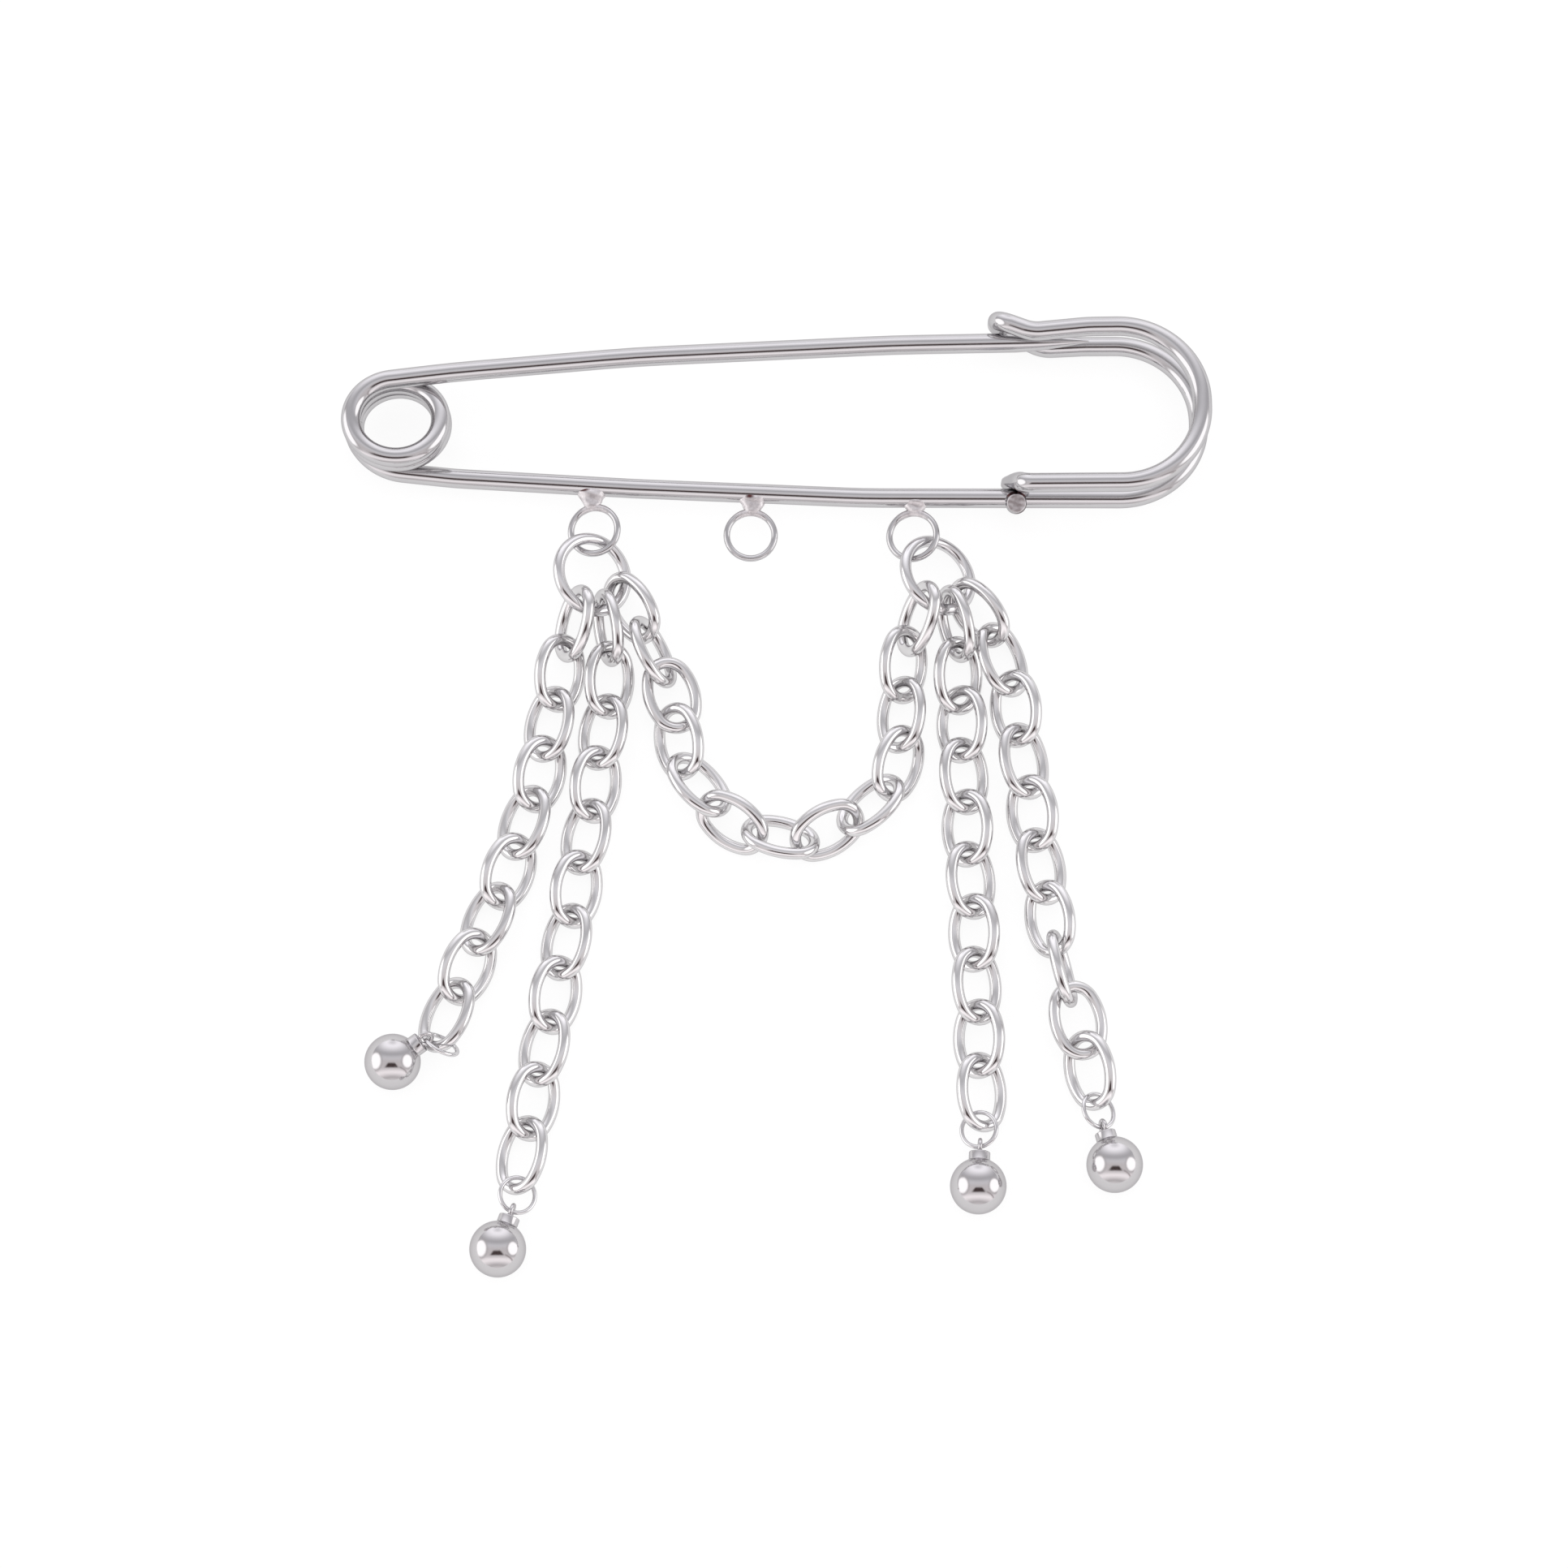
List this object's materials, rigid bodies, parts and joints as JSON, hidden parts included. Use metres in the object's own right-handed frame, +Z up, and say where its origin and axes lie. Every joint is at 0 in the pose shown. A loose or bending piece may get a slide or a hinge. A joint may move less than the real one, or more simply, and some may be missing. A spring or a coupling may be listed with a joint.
{
  "type": "charm brooch",
  "caption": "Coiled wire safety-pin brooch with a hooked double-wire catch, small loops under the bar, a swag of chain, and chains that end in polished balls.",
  "frame": {"origin": "middle of the footprint, on the table the brooch lies on", "axes": "+X along the pin from the coil to the catch, +Y across it from the balls to the pin, +Z up from the table"},
  "size_m": [0.06, 0.0676, 0.0062],
  "materials": {
    "pin_metal": "bright plated wire with duller solder",
    "ring_metal": "bright plated",
    "chain_metal": "bright plated",
    "ball_metal": "mirror polished"
  },
  "bodies": {
    "pin_body": {"frame": "pin_metal", "jump_ring_left": "ring_metal", "jump_ring_right": "ring_metal", "chain_outer_left": "chain_metal", "chain_inner_left": "chain_metal", "chain_swag": "chain_metal", "chain_inner_right": "chain_metal", "chain_outer_right": "chain_metal", "end_ring_outer_left": "ring_metal", "end_ring_inner_left": "ring_metal", "end_ring_inner_right": "ring_metal", "end_ring_outer_right": "ring_metal", "ball_outer_left": "ball_metal", "ball_inner_left": "ball_metal", "ball_inner_right": "ball_metal", "ball_outer_right": "ball_metal"},
    "arm": {"pin_arm": "pin_metal"}
  },
  "joints": [
    {"name": "pin_arm_hinge", "type": "hinge", "parent": "pin_body", "child": "arm", "pos_m": [-0.02626, 0.02528, 0.00408], "axis": [0, 0.1149, 0.9934], "range_deg": [-10.5, 0], "stiffness_Nm_per_rad": 0.1, "springref_deg": 2.86}
  ]
}
